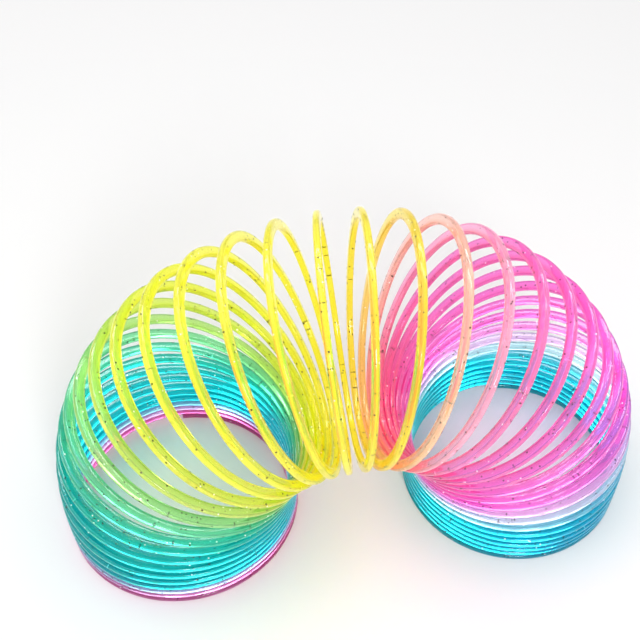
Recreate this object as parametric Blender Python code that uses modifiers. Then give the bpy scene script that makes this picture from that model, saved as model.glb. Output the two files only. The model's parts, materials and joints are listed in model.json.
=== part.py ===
"""Spring coil toy, standing as an arch on its two ends.

The toy is one flat plastic strip, wound into a left-handed coil whose turns lie on each other.
Bent into an arch, its turns stay together along one line, the pinch, on the arch's inner side,
and fan open on the outer side. Each turn is its own object, cut at the pinch, and hinges there
on the turn before it, as the strip twists in the real coil.

World frame: metres, +Z up, +X from the left foot to the right foot, the arch in the XZ plane,
and the origin on the floor under the middle of the arch. Run this file in Blender 4.5.
"""

import math

import bmesh
import bpy
import numpy as np
from mathutils import Vector

# Driving dimensions, in metres
RING_RADIUS = 0.0325
STRIP_WIDTH = 0.0028
PITCH = 0.0020
TURN_GAP = 0.0003

# Driving counts and shares, in whole turns of the coil
TURNS = 39
PINCH_PHASE = 0.25      # the strip starts at the back, a quarter turn before the pinch
FLAT_LAP = 0.75         # share of an end turn that lies flat, before it climbs over the strip's end
FADE_TURNS = 8.0        # turns over which that step fades into an even climb
FOOT_TURNS = 2.25       # turns at each end that stay square to the floor

# The arch
ARCH_ANGLE = math.pi    # both feet point straight down
FAN_POWER = 1.12        # how sharply the fan closes from the crown towards the feet

# Mesh fineness
SEGMENTS_PER_TURN = 28
STATIONS_PER_TURN = 200

STRIP_THICKNESS = PITCH - TURN_GAP
MEAN_RADIUS = RING_RADIUS - STRIP_WIDTH / 2
END_TRIM = TURN_GAP / 2 / (2 * math.pi * MEAN_RADIUS)   # taken off each cut end, in turns

# The dye changes along the strip. Each band runs up to its last turn.
COLOUR_BANDS = (
    (2, "rose", (0.80, 0.24, 0.56)),
    (3, "lavender", (0.66, 0.66, 0.90)),
    (8, "cyan", (0.02, 0.72, 0.78)),
    (10, "teal", (0.12, 0.78, 0.60)),
    (12, "green", (0.34, 0.82, 0.30)),
    (13, "lime", (0.64, 0.86, 0.12)),
    (20, "yellow", (0.93, 0.88, 0.05)),
    (21, "amber", (0.96, 0.72, 0.12)),
    (22, "peach", (0.97, 0.58, 0.38)),
    (23, "coral", (0.96, 0.36, 0.46)),
    (30, "magenta", (0.94, 0.22, 0.66)),
    (32, "lilac", (0.80, 0.74, 0.95)),
    (TURNS, "aqua", (0.02, 0.70, 0.84)),
)


def clear_scene():
    for old in list(bpy.data.objects):
        bpy.data.objects.remove(old, do_unlink=True)


def climb_from_end(turn):
    """Pitches climbed at a turn number counted from the strip's end, where the coil starts flat."""
    lap = turn - np.floor(turn)
    lag = np.where(lap < FLAT_LAP, lap, (1 - lap) * FLAT_LAP / (1 - FLAT_LAP))
    fade = np.clip(1 - (turn - 1) / FADE_TURNS, 0, 1)
    return turn - fade * lag


def fan_rate(turn):
    """Relative fan angle per turn: greatest at the crown, none in the two feet."""
    reach = np.abs(turn - TURNS / 2) / (TURNS / 2 - FOOT_TURNS)
    return np.cos(math.pi / 2 * np.clip(reach, 0, 1)) ** FAN_POWER


class Arch:
    """The coil's path: its tilt, and its pinch line, at any turn number from 0 to TURNS."""

    def __init__(self):
        self.turns = np.linspace(0, TURNS, TURNS * STATIONS_PER_TURN + 1)
        half = TURNS / 2
        climb = np.where(self.turns < half, climb_from_end(self.turns),
                         TURNS - climb_from_end(TURNS - self.turns))
        rate = fan_rate(self.turns)
        turned = np.concatenate(([0], np.cumsum((rate[1:] + rate[:-1]) / 2)))
        self.tilts = ARCH_ANGLE * turned / turned[-1]
        step = PITCH * np.diff(climb)
        middle = (self.tilts[1:] + self.tilts[:-1]) / 2
        self.xs = np.concatenate(([0], np.cumsum(step * np.sin(middle))))
        self.zs = np.concatenate(([0], np.cumsum(step * np.cos(middle))))
        self.xs -= self.xs[-1] / 2
        self.zs += STRIP_THICKNESS / 2

    def tilt(self, turn):
        return float(np.interp(turn, self.turns, self.tilts))

    def pinch(self, turn):
        """Point of the pinch line, on the strip's outer edge and halfway through its thickness."""
        return Vector((np.interp(turn, self.turns, self.xs), 0, np.interp(turn, self.turns, self.zs)))

    def place(self, turn, radius):
        """Where a point of the straight coil lies in the arch."""
        tilt = self.tilt(turn)
        outward = Vector((-math.cos(tilt), 0, math.sin(tilt)))
        phase = 2 * math.pi * (turn - PINCH_PHASE)
        across = Vector((0, -math.sin(phase), 0))
        return self.pinch(turn) + outward * (RING_RADIUS - radius * math.cos(phase)) + across * radius


def straight_ribbon(first, last):
    """Flat ribbon between two turn numbers of the straight coil, whose height gives the turn."""
    ribbon = bmesh.new()
    phase = 2 * math.pi * (first - PINCH_PHASE)
    start = [ribbon.verts.new((radius * math.cos(phase), -radius * math.sin(phase), first * PITCH))
             for radius in (RING_RADIUS - STRIP_WIDTH, RING_RADIUS)]
    edge = ribbon.edges.new(start)
    steps = round((last - first) * SEGMENTS_PER_TURN)
    bmesh.ops.spin(ribbon, geom=[*start, edge], cent=(0, 0, 0), axis=(0, 0, -1),
                   dvec=(0, 0, (last - first) * PITCH / steps),
                   angle=2 * math.pi * (last - first), steps=steps)
    return ribbon


def bend_to_arch(ribbon, arch, origin):
    """Move a straight ribbon to its place in the arch, measured from the turn's hinge."""
    for vert in ribbon.verts:
        turn = vert.co.z / PITCH
        radius = math.hypot(vert.co.x, vert.co.y)
        vert.co = arch.place(turn, radius) - origin
    bmesh.ops.recalc_face_normals(ribbon, faces=ribbon.faces)


def dyed_plastic(name, colour):
    material = bpy.data.materials.new(name)
    material.use_nodes = True
    shader = material.node_tree.nodes["Principled BSDF"]
    shader.inputs["Base Color"].default_value = (*colour, 1)
    shader.inputs["Roughness"].default_value = 0.18
    shader.inputs["Metallic"].default_value = 0.0
    shader.inputs["Transmission Weight"].default_value = 0.3
    material.diffuse_color = (*colour, 1)
    return material


def band_of(turn_number):
    for last, name, colour in COLOUR_BANDS:
        if turn_number <= last:
            return name, colour
    raise ValueError("no colour band for this turn")


def build_turn(number, first, last, arch, collection, before):
    """One turn of the strip, with its origin on the hinge that carries it."""
    hinge = arch.pinch(first)
    ribbon = straight_ribbon(first + END_TRIM, last - END_TRIM)
    bend_to_arch(ribbon, arch, hinge)
    name = f"turn_{number:02d}"
    mesh = bpy.data.meshes.new(name)
    ribbon.to_mesh(mesh)
    ribbon.free()
    turn = bpy.data.objects.new(name, mesh)
    collection.objects.link(turn)
    band, colour = band_of(number)
    mesh.materials.append(dyed_plastic(f"{name}_{band}", colour))
    thickness = turn.modifiers.new("Thickness", "SOLIDIFY")
    thickness.thickness = STRIP_THICKNESS
    thickness.offset = 0
    thickness.use_even_offset = True
    if before is None:
        turn.location = hinge
    else:
        previous, previous_hinge = before
        turn.parent = previous
        turn.location = hinge - previous_hinge
    return turn, hinge


def build_coil():
    """All the turns: the cuts are at the pinch, so the first and last turns differ in length."""
    collection = bpy.data.collections.new("Spring coil toy")
    bpy.context.scene.collection.children.link(collection)
    arch = Arch()
    before = None
    for number in range(1, TURNS + 1):
        first = 0 if number == 1 else number - 1 + PINCH_PHASE
        last = min(number + PINCH_PHASE, TURNS)
        before = build_turn(number, first, last, arch, collection, before)


clear_scene()
build_coil()
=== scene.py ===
"""Looks of the spring coil toy: one glittering plastic strip, dyed along its length, coiled and bent.

The strip is made again here at full quality, one piece for each turn, and replaces the plain CAD turns.
Its path follows the same rule as the CAD coil: the turns lie on each other at the pinch, on the arch's
inner side, and fan open towards the crown. Each piece runs from crown to crown. It moves with its turn's
body where that turn and the one before share a body, and is put on no body where they don't.
"""

import json
import math

import bpy
import numpy as np
from mathutils import Matrix, Vector


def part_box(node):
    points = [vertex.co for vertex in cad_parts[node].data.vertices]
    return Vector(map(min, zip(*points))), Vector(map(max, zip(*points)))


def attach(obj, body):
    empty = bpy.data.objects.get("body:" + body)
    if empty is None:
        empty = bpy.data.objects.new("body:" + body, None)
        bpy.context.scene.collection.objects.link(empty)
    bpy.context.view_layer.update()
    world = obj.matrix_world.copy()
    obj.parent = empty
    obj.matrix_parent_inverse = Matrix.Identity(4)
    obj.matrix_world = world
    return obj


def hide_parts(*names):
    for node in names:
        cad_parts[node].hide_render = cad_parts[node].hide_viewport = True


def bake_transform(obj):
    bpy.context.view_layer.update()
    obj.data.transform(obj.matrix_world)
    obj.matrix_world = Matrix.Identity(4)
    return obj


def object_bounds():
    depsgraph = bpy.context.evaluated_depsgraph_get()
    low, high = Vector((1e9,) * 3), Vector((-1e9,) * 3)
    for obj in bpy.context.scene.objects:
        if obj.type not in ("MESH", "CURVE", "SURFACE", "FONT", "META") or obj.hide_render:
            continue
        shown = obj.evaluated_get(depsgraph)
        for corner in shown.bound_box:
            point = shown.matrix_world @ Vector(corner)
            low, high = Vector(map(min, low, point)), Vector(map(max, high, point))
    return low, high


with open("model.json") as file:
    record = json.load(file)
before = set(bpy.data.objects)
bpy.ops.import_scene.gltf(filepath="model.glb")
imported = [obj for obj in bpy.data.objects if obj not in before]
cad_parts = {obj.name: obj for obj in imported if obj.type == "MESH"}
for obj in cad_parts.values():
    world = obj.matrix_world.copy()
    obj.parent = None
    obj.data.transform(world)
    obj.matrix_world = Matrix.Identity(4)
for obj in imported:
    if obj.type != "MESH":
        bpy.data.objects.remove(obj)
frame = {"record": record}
cad_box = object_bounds()

# The coil, as in the CAD
TURNS = 39
PINCH_PHASE = 0.25
FLAT_LAP = 0.75
FADE_TURNS = 8.0
FOOT_TURNS = 2.25
ARCH_ANGLE = math.pi
FAN_POWER = 1.12
PITCH = 0.0020
STRIP_WIDTH = 0.0028
STATIONS_PER_TURN = 200

foot_low, foot_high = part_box(f"turn_{TURNS}")
STRIP_THICKNESS = foot_high.z - foot_low.z
RING_RADIUS = cad_box[1].y

# The strip's section, and how finely it is swept
CORNER_RADIUS = 0.00066
CORNER_STEPS = 4
SECTIONS_PER_TURN = 144
HALF_TURN = 0.5
SIDES_OF_A_QUAD = 4

# Glitter moulded into the strip's skin
FLAKE_SIDES = 6
FLAKE_SIZE = 0.00052
FLAKE_THICKNESS = 0.00006
FLAKE_TILT = math.radians(12)
FLAKES_PER_AREA = 80_000
FLAKE_SCALES = (0.6, 1.2)
BRIGHT_FLAKES_FROM = 0.78   # each flake has a random tone from 0 to 1
BRIGHT_FLAKE_SCALE = 0.65
TONE_STEP = 0.01
FLAKE_METALLIC = 0.4
FLAKE_ROUGHNESS = 0.3

# Painted shade where the dye is drawn deeper, for the shade between crowded turns and the light that has
# passed
# through them: across the strip, in widths from its middle towards the ring's inner side, and round the ring,
# by a cosine that is 1 at the pinch. Each starts at the first value, full at the second
PAINTED_SHADE_INNER_SIDE = (-0.15, 0.5)
PAINTED_SHADE_INNER_DEPTH = 0.85
PAINTED_SHADE_PINCH_COSINES = (0.1, 0.95)

# Painted shade along the rounded corners: they are drawn darker, for the dark lines that refraction and dark
# reflections give the strip's edges. Each runs from the first value to the second, in thicknesses or widths
# from the section's middle
PAINTED_CORNER_SHADE_ALONG_AXIS = (0.30, 0.46)
PAINTED_CORNER_SHADE_ALONG_RADIUS = (0.38, 0.48)
PAINTED_CORNER_SHADE_DEPTH = 0.7
PAINTED_CORNER_SHADE_TINT = (0.16, 0.18, 0.20, 1)

# Lines left by the moulding: how fast the noise changes, the range of it that is used, and its relief
FLOW_PER_TURN = 1.7
FLOW_PER_METRE = 2200
FLOW_DETAIL = 3.0
FLOW_RANGE = (0.3, 0.7)
FLOW_BUMP = 0.045
FLOW_HEIGHT = 0.0001

# The clear plastic
PLASTIC_ROUGHNESS = (0.06, 0.14)
# Painted glow: the plastic emits its own colour, standing in for the dyes' fluorescence
PAINTED_GLOW_STRENGTH = 0.10
PLASTIC_IOR = 1.47
PLASTIC_CLEARNESS = 0.8

# Dyes along the strip: the turn where each is pure, the colour where the strip is seen alone, and the
# painted shade colour, deeper, of its inner side and of the crowded pinch
DYES_AND_PAINTED_SHADES = (
    (0.0, (0.72, 0.16, 0.46), (0.66, 0.08, 0.34)),                    # rose
    (1.2, (0.76, 0.20, 0.52), (0.68, 0.12, 0.40)),                    # rose
    (2.3, (0.50, 0.58, 0.84), (0.56, 0.50, 0.86)),                    # lavender
    (3.4, (0.01, 0.46, 0.49), (0.00, 0.56, 0.70)),                    # cyan
    (7.6, (0.01, 0.48, 0.48), (0.00, 0.56, 0.66)),                    # cyan
    (9.2, (0.02, 0.58, 0.47), (0.01, 0.56, 0.44)),                    # teal
    (10.8, (0.22, 0.72, 0.42), (0.10, 0.62, 0.28)),                   # green
    (12.4, (0.66, 0.84, 0.24), (0.52, 0.74, 0.08)),                   # lime
    (13.6, (0.84, 0.90, 0.14), (0.74, 0.80, 0.02)),                   # lime
    (15.2, (0.94, 0.94, 0.10), (0.90, 0.86, 0.02)),                   # yellow
    (19.3, (0.97, 0.92, 0.10), (0.96, 0.80, 0.02)),                   # yellow
    (20.8, (0.97, 0.86, 0.09), (0.96, 0.64, 0.06)),                   # amber
    (21.6, (0.97, 0.72, 0.58), (0.96, 0.42, 0.24)),                   # peach
    (22.6, (0.97, 0.58, 0.76), (0.96, 0.24, 0.32)),                   # coral
    (23.8, (0.95, 0.30, 0.73), (0.94, 0.14, 0.34)),                   # magenta
    (29.4, (0.92, 0.19, 0.72), (0.90, 0.14, 0.58)),                   # magenta
    (30.8, (0.80, 0.60, 0.86), (0.76, 0.42, 0.84)),                   # lilac
    (31.8, (0.56, 0.80, 0.86), (0.46, 0.78, 0.82)),                   # lilac
    (33.0, (0.01, 0.50, 0.66), (0.00, 0.60, 0.66)),                   # aqua
    (39.0, (0.01, 0.48, 0.66), (0.00, 0.56, 0.62)),                   # aqua
)

# Floor and sky
FLOOR_SIZE = 6
FLOOR_COLOUR = (0.98, 0.975, 0.975, 1)
FLOOR_ROUGHNESS = 0.55
SKY_STRENGTH = 0.76
SKY_BY_HEIGHT = ((0.0, (0.44, 0.46, 0.48)), (0.25, (0.84, 0.85, 0.86)), (0.6, (1.0, 1.0, 1.0)))
WHITE = (1, 1, 1, 1)

# Softboxes: name, direction, distance, width, height and watts
SOFTBOXES = (
    ("front_softbox", (0.1, -0.78, 0.62), 0.7, 0.16, 0.16, 1.9),
    ("overhead_softbox", (-0.35, 0.1, 0.93), 0.8, 0.5, 0.5, 1.0),
)

# Long lamps, which draw bright lines on the plastic and leave the floor alone
LONG_LAMPS = (
    ("rear_lamp", (0.093, 0.638, 0.765), 0.87, 1.2, 0.10, 4.0),
    ("high_lamp", (0.09, 0.34, 0.94), 0.87, 1.2, 0.10, 4.0),
)

# Camera
CAMERA_AZIMUTH = math.radians(-12.55)
CAMERA_ELEVATION = math.radians(52.21)
CAMERA_ROLL = math.radians(4.37)
CAMERA_AIM = Vector((0.01026, 0, 0.03877))
CAMERA_DISTANCE = 0.2584
CAMERA_SENSOR = 36
CAMERA_LENS = 54.05
CAMERA_SHIFT = (-0.110, 0.1244)
CAMERA_CLIP_START = 0.01


# ---------------------------------------------------------------- the coil's path

def climb_from_end(turn):
    """Pitches climbed at a turn number counted from the strip's end, where the coil starts flat."""
    lap = turn - np.floor(turn)
    lag = np.where(lap < FLAT_LAP, lap, (1 - lap) * FLAT_LAP / (1 - FLAT_LAP))
    fade = np.clip(1 - (turn - 1) / FADE_TURNS, 0, 1)
    return turn - fade * lag


def fan_rate(turn):
    """Relative fan angle per turn: greatest at the crown, none in the two feet."""
    reach = np.abs(turn - TURNS / 2) / (TURNS / 2 - FOOT_TURNS)
    return np.cos(math.pi / 2 * np.clip(reach, 0, 1)) ** FAN_POWER


class Arch:
    """The coil's path: its tilt, and its pinch line, at any turn number from 0 to TURNS."""

    def __init__(self):
        self.turns = np.linspace(0, TURNS, TURNS * STATIONS_PER_TURN + 1)
        half = TURNS / 2
        climb = np.where(self.turns < half, climb_from_end(self.turns),
                         TURNS - climb_from_end(TURNS - self.turns))
        rate = fan_rate(self.turns)
        turned = np.concatenate(([0], np.cumsum((rate[1:] + rate[:-1]) / 2)))
        self.tilts = ARCH_ANGLE * turned / turned[-1]
        step = PITCH * np.diff(climb)
        middle = (self.tilts[1:] + self.tilts[:-1]) / 2
        self.xs = np.concatenate(([0], np.cumsum(step * np.sin(middle))))
        self.zs = np.concatenate(([0], np.cumsum(step * np.cos(middle))))
        self.xs -= self.xs[-1] / 2
        self.zs += STRIP_THICKNESS / 2

    def stations(self, turns):
        """Centre line of the strip, and the ring's axis, at an array of turn numbers."""
        tilt = np.interp(turns, self.turns, self.tilts)
        pinch = np.stack((np.interp(turns, self.turns, self.xs), 0 * turns,
                          np.interp(turns, self.turns, self.zs)), axis=1)
        outward = np.stack((-np.cos(tilt), 0 * turns, np.sin(tilt)), axis=1)
        axis = np.stack((np.sin(tilt), 0 * turns, np.cos(tilt)), axis=1)
        phase = 2 * math.pi * (turns - PINCH_PHASE)
        radius = RING_RADIUS - STRIP_WIDTH / 2
        centre = pinch + outward * (RING_RADIUS - radius * np.cos(phase))[:, None]
        centre[:, 1] -= radius * np.sin(phase)
        return centre, axis


# ---------------------------------------------------------------- node helpers

def add_node(tree, kind, inputs=None, **settings):
    """A node with its settings, and with its inputs set to values or linked to sockets."""
    made = tree.nodes.new(kind)
    for key, value in settings.items():
        setattr(made, key, value)
    for key, value in (inputs or {}).items():
        socket = made.inputs[key]
        if isinstance(value, bpy.types.NodeSocket):
            tree.links.new(value, socket)
        else:
            socket.default_value = value
    return made


def set_input(modifier, name, value):
    """A Geometry Nodes modifier's input, by its name in the tree."""
    for item in modifier.node_group.interface.items_tree:
        if item.item_type == "SOCKET" and item.in_out == "INPUT" and item.name == name:
            modifier[item.identifier] = value
            return
    raise KeyError(name)


# ---------------------------------------------------------------- the strip's shape

def tree_with(name, inputs):
    """An empty Geometry Nodes tree with its named inputs, and the sockets that give them."""
    tree = bpy.data.node_groups.new(name, "GeometryNodeTree")
    for label, kind in inputs:
        tree.interface.new_socket(label, in_out="INPUT", socket_type=kind)
    tree.interface.new_socket("Geometry", in_out="OUTPUT", socket_type="NodeSocketGeometry")
    return tree, tree.nodes.new("NodeGroupInput").outputs


def swept_section(tree, given):
    """A rounded rectangle swept along the centre line. Each point keeps its place in the section."""
    axis = add_node(tree, "GeometryNodeInputNamedAttribute", {"Name": "ring_axis"}, data_type="FLOAT_VECTOR")
    line = add_node(tree, "GeometryNodeMeshToCurve", {"Mesh": given["Geometry"]})
    turned = add_node(tree, "GeometryNodeSetCurveNormal",
                      {"Curve": line.outputs["Curve"], "Normal": axis.outputs["Attribute"]}, mode="FREE")
    outline = add_node(tree, "GeometryNodeCurvePrimitiveQuadrilateral",
                       {"Width": given["Thickness"], "Height": given["Width"]}, mode="RECTANGLE")
    rounded = add_node(tree, "GeometryNodeFilletCurve",
                       {"Curve": outline.outputs["Curve"], "Radius": given["Corner Radius"],
                        "Count": given["Corner Steps"]}, mode="POLY")
    place = add_node(tree, "GeometryNodeInputPosition")
    marked = add_node(tree, "GeometryNodeStoreNamedAttribute",
                      {"Geometry": rounded.outputs["Curve"], "Name": "section_place",
                       "Value": place.outputs["Position"]}, data_type="FLOAT_VECTOR", domain="POINT")
    swept = add_node(tree, "GeometryNodeCurveToMesh",
                     {"Curve": turned.outputs["Curve"], "Profile Curve": marked.outputs["Geometry"],
                      "Fill Caps": True})
    return swept.outputs["Mesh"]


def plastic_body(tree, given, strip, is_side):
    """The strip in its plastic, with the cuts between pieces marked. The strip's own two ends aren't cuts."""
    is_cap = add_node(tree, "FunctionNodeBooleanMath", {0: is_side}, operation="NOT")
    turn = add_node(tree, "GeometryNodeInputNamedAttribute", {"Name": "turn"}, data_type="FLOAT")
    to_middle = add_node(tree, "ShaderNodeMath", {0: turn.outputs["Attribute"], 1: given["Middle Turn"]},
                         operation="SUBTRACT")
    away = add_node(tree, "ShaderNodeMath", {0: to_middle.outputs["Value"]}, operation="ABSOLUTE")
    before_end = add_node(tree, "FunctionNodeCompare", {"A": away.outputs["Value"], "B": given["Last Cut"]},
                          data_type="FLOAT", operation="LESS_THAN")
    is_cut = add_node(tree, "FunctionNodeBooleanMath",
                      {0: is_cap.outputs["Boolean"], 1: before_end.outputs["Result"]}, operation="AND")
    marked_cut = add_node(tree, "GeometryNodeStoreNamedAttribute",
                          {"Geometry": strip, "Name": "is_cut", "Value": is_cut.outputs["Boolean"]},
                          data_type="BOOLEAN", domain="FACE")
    body = add_node(tree, "GeometryNodeSetMaterial",
                    {"Geometry": marked_cut.outputs["Geometry"], "Material": given["Plastic"]})
    return body.outputs["Geometry"]


def random_number(tree, given, low, high):
    """A random number for each flake."""
    node = add_node(tree, "FunctionNodeRandomValue", {2: low, 3: high, "Seed": given["Seed"]},
                    data_type="FLOAT")
    return node.outputs[1]


def scattered_flakes(tree, given, strip, is_side):
    """Small plates on the strip's skin, each with a random tilt, size and tone."""
    spots = add_node(tree, "GeometryNodeDistributePointsOnFaces",
                     {"Mesh": strip, "Selection": is_side, "Density": given["Flakes per Area"],
                      "Seed": given["Seed"]})
    tilt = add_node(tree, "FunctionNodeRandomValue",
                    {"Min": (-FLAKE_TILT, -FLAKE_TILT, 0), "Max": (FLAKE_TILT, FLAKE_TILT, math.tau),
                     "Seed": given["Seed"]}, data_type="FLOAT_VECTOR")
    turn_to = add_node(tree, "FunctionNodeRotateRotation",
                       {"Rotation": spots.outputs["Rotation"], "Rotate By": tilt.outputs["Value"]},
                       rotation_space="LOCAL")
    size = random_number(tree, given, *FLAKE_SCALES)
    tone = random_number(tree, given, 0.0, 1.0)
    toned = add_node(tree, "GeometryNodeStoreNamedAttribute",
                     {"Geometry": spots.outputs["Points"], "Name": "flake_tone", "Value": tone},
                     data_type="FLOAT", domain="POINT")
    by_tone = add_node(tree, "ShaderNodeMapRange",
                       {"Value": tone, "From Min": BRIGHT_FLAKES_FROM - TONE_STEP,
                        "From Max": BRIGHT_FLAKES_FROM, "To Min": 1.0, "To Max": BRIGHT_FLAKE_SCALE})
    scale = add_node(tree, "ShaderNodeMath", {0: size, 1: by_tone.outputs["Result"]}, operation="MULTIPLY")
    half = add_node(tree, "ShaderNodeMath", {0: given["Flake Size"], 1: 0.5}, operation="MULTIPLY")
    flake = add_node(tree, "GeometryNodeMeshCylinder",
                     {"Vertices": FLAKE_SIDES, "Radius": half.outputs["Value"],
                      "Depth": given["Flake Thickness"]}, fill_type="NGON")
    faceted = add_node(tree, "GeometryNodeSetShadeSmooth",
                       {"Geometry": flake.outputs["Mesh"], "Shade Smooth": False})
    glitter = add_node(tree, "GeometryNodeSetMaterial",
                       {"Geometry": faceted.outputs["Geometry"], "Material": given["Glitter"]})
    scattered = add_node(tree, "GeometryNodeInstanceOnPoints",
                         {"Points": toned.outputs["Geometry"], "Instance": glitter.outputs["Geometry"],
                          "Rotation": turn_to.outputs["Rotation"], "Scale": scale.outputs["Value"]})
    return scattered.outputs["Instances"]


def strip_tree():
    """Geometry Nodes that make one piece of the strip, with its glitter, from its centre line."""
    tree, given = tree_with("Moulded strip", (
        ("Geometry", "NodeSocketGeometry"), ("Width", "NodeSocketFloat"), ("Thickness", "NodeSocketFloat"),
        ("Corner Radius", "NodeSocketFloat"), ("Corner Steps", "NodeSocketInt"),
        ("Plastic", "NodeSocketMaterial"), ("Cut Face", "NodeSocketMaterial"),
        ("Glitter", "NodeSocketMaterial"), ("Flake Size", "NodeSocketFloat"),
        ("Flake Thickness", "NodeSocketFloat"), ("Flakes per Area", "NodeSocketFloat"),
        ("Seed", "NodeSocketInt"), ("Middle Turn", "NodeSocketFloat"), ("Last Cut", "NodeSocketFloat")))
    strip = swept_section(tree, given)
    corners = add_node(tree, "GeometryNodeInputMeshFaceNeighbors")
    is_side = add_node(tree, "FunctionNodeCompare",
                       {"A": corners.outputs["Vertex Count"], "B": SIDES_OF_A_QUAD},
                       data_type="INT", operation="EQUAL").outputs["Result"]
    body = plastic_body(tree, given, strip, is_side)
    flakes = scattered_flakes(tree, given, strip, is_side)
    joined = tree.nodes.new("GeometryNodeJoinGeometry")
    tree.links.new(flakes, joined.inputs["Geometry"])
    tree.links.new(body, joined.inputs["Geometry"])
    real = add_node(tree, "GeometryNodeRealizeInstances", {"Geometry": joined.outputs["Geometry"]})
    cut = add_node(tree, "GeometryNodeInputNamedAttribute", {"Name": "is_cut"}, data_type="BOOLEAN")
    finished = add_node(tree, "GeometryNodeSetMaterial",
                        {"Geometry": real.outputs["Geometry"], "Selection": cut.outputs["Attribute"],
                         "Material": given["Cut Face"]})
    add_node(tree, "NodeGroupOutput", {"Geometry": finished.outputs["Geometry"]})
    return tree


def centre_line(name, first, last, arch):
    """A chain of vertices along the strip, each with its turn number and its ring's axis."""
    turns = np.linspace(first, last, round((last - first) * SECTIONS_PER_TURN) + 1)
    centre, axis = arch.stations(turns)
    mesh = bpy.data.meshes.new(name)
    mesh.from_pydata(centre.tolist(), [(i, i + 1) for i in range(len(turns) - 1)], [])
    mesh.attributes.new("ring_axis", "FLOAT_VECTOR", "POINT").data.foreach_set("vector", axis.ravel())
    mesh.attributes.new("turn", "FLOAT", "POINT").data.foreach_set("value", turns)
    line = bpy.data.objects.new(name, mesh)
    bpy.context.scene.collection.objects.link(line)
    return line


def sweep(line, tree, inputs):
    """The strip's plain mesh on that centre line."""
    modifier = line.modifiers.new("Moulded strip", "NODES")
    modifier.node_group = tree
    for name, value in inputs.items():
        set_input(modifier, name, value)
    bpy.context.view_layer.update()
    graph = bpy.context.evaluated_depsgraph_get()
    made = bpy.data.meshes.new_from_object(line.evaluated_get(graph))
    line.modifiers.clear()
    line.data = made
    return line


def bend_with_turns(piece):
    """The piece's placement is baked into its mesh and its turn numbers are read; it is not bent, and not put
    on a body.
    """
    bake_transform(piece)
    turns = np.zeros(len(piece.data.vertices))
    piece.data.attributes["turn"].data.foreach_get("value", turns)


# ---------------------------------------------------------------- materials

def attribute(tree, name):
    return add_node(tree, "ShaderNodeAttribute", attribute_name=name).outputs


def colour_ramp(tree, factor, stops):
    """A ramp from (place, colour) stops, with the places between 0 and 1."""
    ramp = add_node(tree, "ShaderNodeValToRGB", {"Fac": factor})
    points = ramp.color_ramp.elements
    while len(points) < len(stops):
        points.new(0.5)
    for point, (place, colour) in zip(points, stops):
        point.position = place
        point.color = (*colour, 1)
    return ramp.outputs["Color"]


def value_group(name, inputs, output_kind="NodeSocketFloat"):
    """An empty shader node group with named inputs and one output."""
    group = bpy.data.node_groups.new(name, "ShaderNodeTree")
    for label, kind in inputs:
        group.interface.new_socket(label, in_out="INPUT", socket_type=kind)
    group.interface.new_socket("Result", in_out="OUTPUT", socket_type=output_kind)
    return group, group.nodes.new("NodeGroupInput").outputs


def smooth_step(tree, value, low, high):
    """0 below low, 1 above high, smooth between."""
    step = add_node(tree, "ShaderNodeMapRange", {"Value": value, "From Min": low, "From Max": high},
                    interpolation_type="SMOOTHSTEP")
    return step.outputs["Result"]


def maths(tree, operation, first, second=0.0):
    return add_node(tree, "ShaderNodeMath", {0: first, 1: second}, operation=operation).outputs["Value"]


def painted_shade_group():
    """Painted shade: where the strip is drawn deepest, on the ring's inner side and at the pinch."""
    group, given = value_group("Painted shade of inner side and pinch", (("Turn", "NodeSocketFloat"), ("Across", "NodeSocketFloat")))
    inner = smooth_step(group, given["Across"], *(share * STRIP_WIDTH for share in PAINTED_SHADE_INNER_SIDE))
    phase = maths(group, "MULTIPLY", maths(group, "SUBTRACT", given["Turn"], PINCH_PHASE), 2 * math.pi)
    pinch = smooth_step(group, maths(group, "COSINE", phase), *PAINTED_SHADE_PINCH_COSINES)
    both = maths(group, "MAXIMUM", maths(group, "MULTIPLY", inner, PAINTED_SHADE_INNER_DEPTH), pinch)
    add_node(group, "NodeGroupOutput", {"Result": both})
    return group


def painted_corner_shade_group():
    """Mask of the painted corner shade: 1 along the strip's four rounded corners, 0 on its flat sides."""
    group, given = value_group("Painted corner shade", (("Section", "NodeSocketVector"),))
    place = add_node(group, "ShaderNodeSeparateXYZ", {"Vector": given["Section"]}).outputs
    axial = smooth_step(group, maths(group, "ABSOLUTE", place["X"]),
                        *(share * STRIP_THICKNESS for share in PAINTED_CORNER_SHADE_ALONG_AXIS))
    radial = smooth_step(group, maths(group, "ABSOLUTE", place["Y"]),
                         *(share * STRIP_WIDTH for share in PAINTED_CORNER_SHADE_ALONG_RADIUS))
    add_node(group, "NodeGroupOutput", {"Result": maths(group, "MULTIPLY", axial, radial)})
    return group


def flow_group():
    """Fine lines left along the strip by the moulding, as a height from 0 to 1."""
    group, given = value_group("Flow lines", (("Turn", "NodeSocketFloat"), ("Section", "NodeSocketVector")))
    place = add_node(group, "ShaderNodeSeparateXYZ", {"Vector": given["Section"]}).outputs
    vector = add_node(group, "ShaderNodeCombineXYZ",
                      {"X": maths(group, "MULTIPLY", given["Turn"], FLOW_PER_TURN),
                       "Y": maths(group, "MULTIPLY", place["X"], FLOW_PER_METRE),
                       "Z": maths(group, "MULTIPLY", place["Y"], FLOW_PER_METRE)})
    noise = add_node(group, "ShaderNodeTexNoise",
                     {"Vector": vector.outputs["Vector"], "Scale": 1.0, "Detail": FLOW_DETAIL})
    add_node(group, "NodeGroupOutput", {"Result": noise.outputs["Fac"]})
    return group


def use_group(tree, group, inputs):
    node = add_node(tree, "ShaderNodeGroup", node_tree=group)
    for name, value in inputs.items():
        tree.links.new(value, node.inputs[name])
    return node.outputs["Result"]


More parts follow.
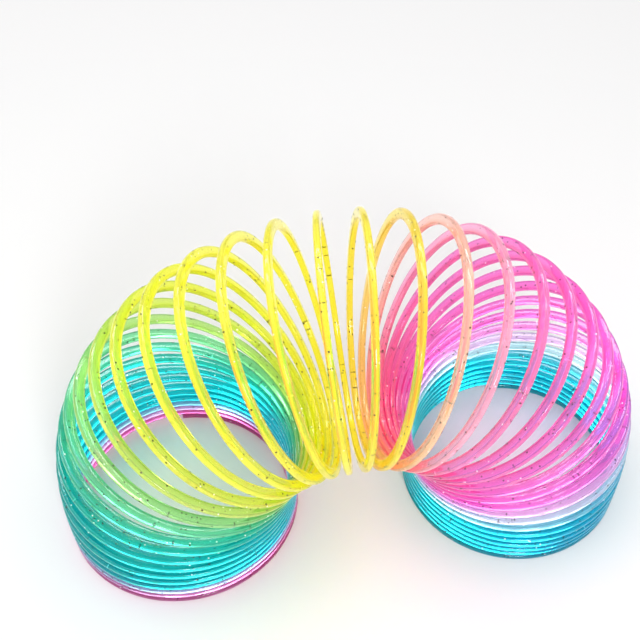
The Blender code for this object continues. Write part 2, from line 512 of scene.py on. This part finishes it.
def mixed(tree, factor, first, second, blend_type="MIX"):
    """Two colours mixed by a factor."""
    node = add_node(tree, "ShaderNodeMix", data_type="RGBA", blend_type=blend_type)
    for socket, value in ((node.inputs[0], factor), (node.inputs[6], first), (node.inputs[7], second)):
        if isinstance(value, bpy.types.NodeSocket):
            tree.links.new(value, socket)
        else:
            socket.default_value = value
    return node.outputs[2]


def glitter_plastic():
    """Clear dyed plastic that blurs what is behind it, with a painted glow, as fluorescent dyes glow a
    little, and painted shade on its corners, its inner side and at the pinch.
    """
    material = bpy.data.materials.new("dyed_clear_plastic_with_painted_shade_and_glow")
    material.use_nodes = True
    tree = material.node_tree
    shader = tree.nodes["Principled BSDF"]
    turn = attribute(tree, "turn")["Fac"]
    section = attribute(tree, "section_place")["Vector"]
    across = add_node(tree, "ShaderNodeSeparateXYZ", {"Vector": section}).outputs["Y"]
    share = maths(tree, "DIVIDE", turn, TURNS)
    clear = colour_ramp(tree, share, [(place / TURNS, colour) for place, colour, _ in DYES_AND_PAINTED_SHADES])
    painted_shade_colour = colour_ramp(tree, share, [(place / TURNS, colour) for place, _, colour in DYES_AND_PAINTED_SHADES])
    flow = use_group(tree, flow_group(), {"Turn": turn, "Section": section})
    painted_shade_share = use_group(tree, painted_shade_group(), {"Turn": turn, "Across": across})
    # Painted shade: the dye is mixed towards its deeper colour on the ring's inner side and at the pinch
    dye_and_painted_shade = mixed(tree, painted_shade_share, clear, painted_shade_colour)
    # Painted shade: the rounded corners are darkened towards a grey tint
    painted_corner_shade = use_group(tree, painted_corner_shade_group(), {"Section": section})
    plastic_colour_with_painted_shade = mixed(tree, maths(tree, "MULTIPLY", painted_corner_shade, PAINTED_CORNER_SHADE_DEPTH), dye_and_painted_shade, PAINTED_CORNER_SHADE_TINT, "MULTIPLY")
    tree.links.new(plastic_colour_with_painted_shade, shader.inputs["Base Color"])
    # Painted glow: the emitted colour is the dye with its painted shade
    tree.links.new(plastic_colour_with_painted_shade, shader.inputs["Emission Color"])
    rough = add_node(tree, "ShaderNodeMapRange",
                     {"Value": flow, "From Min": FLOW_RANGE[0], "From Max": FLOW_RANGE[1],
                      "To Min": PLASTIC_ROUGHNESS[0], "To Max": PLASTIC_ROUGHNESS[1]})
    tree.links.new(rough.outputs["Result"], shader.inputs["Roughness"])
    bump = add_node(tree, "ShaderNodeBump", {"Height": flow, "Strength": FLOW_BUMP, "Distance": FLOW_HEIGHT})
    tree.links.new(bump.outputs["Normal"], shader.inputs["Normal"])
    # Strength of the painted glow
    shader.inputs["Emission Strength"].default_value = PAINTED_GLOW_STRENGTH
    shader.inputs["IOR"].default_value = PLASTIC_IOR
    shader.inputs["Transmission Weight"].default_value = PLASTIC_CLEARNESS
    return material


def clear_cut_face():
    """The cut between two pieces of one strip: light passes it as if nothing were there."""
    material = bpy.data.materials.new("clear_cut_face")
    material.use_nodes = True
    material.node_tree.nodes["Principled BSDF"].inputs["Alpha"].default_value = 0
    return material


def glitter_flakes():
    """Thin metal flakes: most are dark, and some are bright and catch the light."""
    material = bpy.data.materials.new("glitter_flakes")
    material.use_nodes = True
    tree = material.node_tree
    shader = tree.nodes["Principled BSDF"]
    tone = colour_ramp(tree, attribute(tree, "flake_tone")["Fac"], (
        (0.0, (0.004, 0.003, 0.003)), (BRIGHT_FLAKES_FROM - TONE_STEP, (0.04, 0.025, 0.02)),
        (BRIGHT_FLAKES_FROM, (0.95, 0.95, 0.98)), (1.0, (1.0, 1.0, 1.0))))
    tree.links.new(tone, shader.inputs["Base Color"])
    shader.inputs["Metallic"].default_value = FLAKE_METALLIC
    shader.inputs["Roughness"].default_value = FLAKE_ROUGHNESS
    return material


# ---------------------------------------------------------------- stage

def build_stage():
    bpy.ops.mesh.primitive_plane_add(size=FLOOR_SIZE, location=(0, 0, 0))
    floor = bpy.context.object
    floor.name = "floor"
    paper = bpy.data.materials.new("pale_floor")
    paper.use_nodes = True
    shader = paper.node_tree.nodes["Principled BSDF"]
    shader.inputs["Base Color"].default_value = FLOOR_COLOUR
    shader.inputs["Roughness"].default_value = FLOOR_ROUGHNESS
    shader.inputs["Specular IOR Level"].default_value = 0
    floor.data.materials.append(paper)


def aim_light(name, direction, distance, width, height, energy):
    """A rectangular lamp that faces the coil from a direction."""
    data = bpy.data.lights.new(name, "AREA")
    data.shape = "RECTANGLE"
    data.size = width
    data.size_y = height
    data.energy = energy
    lamp = bpy.data.objects.new(name, data)
    lamp.location = Vector(direction).normalized() * distance
    lamp.rotation_euler = Vector(direction).to_track_quat("Z", "Y").to_euler()
    bpy.context.scene.collection.objects.link(lamp)
    return lamp


def build_lights():
    """A pale studio: two softboxes, two long lamps behind, and a sky that is darker at the horizon.

    The darker horizon draws the strip's edges. Where the sky itself is seen, it is plain and pale.
    """
    world = bpy.data.worlds.new("Studio")
    world.use_nodes = True
    tree = world.node_tree
    sky = tree.nodes["Background"]
    direction = add_node(tree, "ShaderNodeTexCoord").outputs["Generated"]
    height = add_node(tree, "ShaderNodeSeparateXYZ", {"Vector": direction})
    shade = colour_ramp(tree, height.outputs["Z"], SKY_BY_HEIGHT)
    seen = add_node(tree, "ShaderNodeLightPath").outputs["Is Camera Ray"]
    tree.links.new(mixed(tree, seen, shade, WHITE), sky.inputs["Color"])
    sky.inputs["Strength"].default_value = SKY_STRENGTH
    bpy.context.scene.world = world
    for softbox in SOFTBOXES:
        aim_light(*softbox)
    for long_lamp in LONG_LAMPS:
        aim_light(*long_lamp).visible_diffuse = False


def build_camera():
    level_share = math.cos(CAMERA_ELEVATION)
    back = Vector((math.sin(CAMERA_AZIMUTH) * level_share, -math.cos(CAMERA_AZIMUTH) * level_share,
                   math.sin(CAMERA_ELEVATION)))
    right = Vector((math.cos(CAMERA_AZIMUTH), math.sin(CAMERA_AZIMUTH), 0))
    up = back.cross(right)
    level = Matrix((right, up, back)).transposed().to_4x4()
    data = bpy.data.cameras.new("camera")
    data.sensor_width = CAMERA_SENSOR
    data.lens = CAMERA_LENS
    data.shift_x, data.shift_y = CAMERA_SHIFT
    data.clip_start = CAMERA_CLIP_START
    camera = bpy.data.objects.new("camera", data)
    place = Matrix.Translation(CAMERA_AIM + back * CAMERA_DISTANCE)
    camera.matrix_world = place @ level @ Matrix.Rotation(CAMERA_ROLL, 4, "Z")
    bpy.context.scene.collection.objects.link(camera)
    bpy.context.scene.camera = camera
    bpy.context.scene.view_settings.view_transform = "Standard"


# ---------------------------------------------------------------- the whole strip

def build_strip():
    """One piece for each turn, in place of its CAD node, on the body that moves it; where the turn before is
    on another body, the piece is put on no body.
    """
    arch = Arch()
    tree = strip_tree()
    inputs = {"Width": STRIP_WIDTH, "Thickness": STRIP_THICKNESS, "Corner Radius": CORNER_RADIUS,
              "Corner Steps": CORNER_STEPS, "Plastic": glitter_plastic(), "Cut Face": clear_cut_face(),
              "Glitter": glitter_flakes(), "Flake Size": FLAKE_SIZE, "Flake Thickness": FLAKE_THICKNESS,
              "Flakes per Area": FLAKES_PER_AREA, "Middle Turn": TURNS / 2,
              "Last Cut": TURNS / 2 - HALF_TURN}
    body_of = {node: body for body, nodes in frame["record"]["behaviour"]["bodies"].items() for node in nodes}
    for number in range(1, TURNS + 1):
        seam = number - HALF_TURN + PINCH_PHASE
        first = 0 if number == 1 else seam - 1
        last = TURNS if number == TURNS else seam
        line = centre_line(f"strip_{number:02d}", first, last, arch)
        piece = sweep(line, tree, {**inputs, "Seed": number})
        body = body_of[f"turn_{number:02d}"]
        before = body_of[f"turn_{max(number - 1, 1):02d}"]
        if before == body:
            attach(piece, body)
        else:
            bend_with_turns(piece)
        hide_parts(f"turn_{number:02d}")


build_camera()
build_stage()
build_lights()
build_strip()
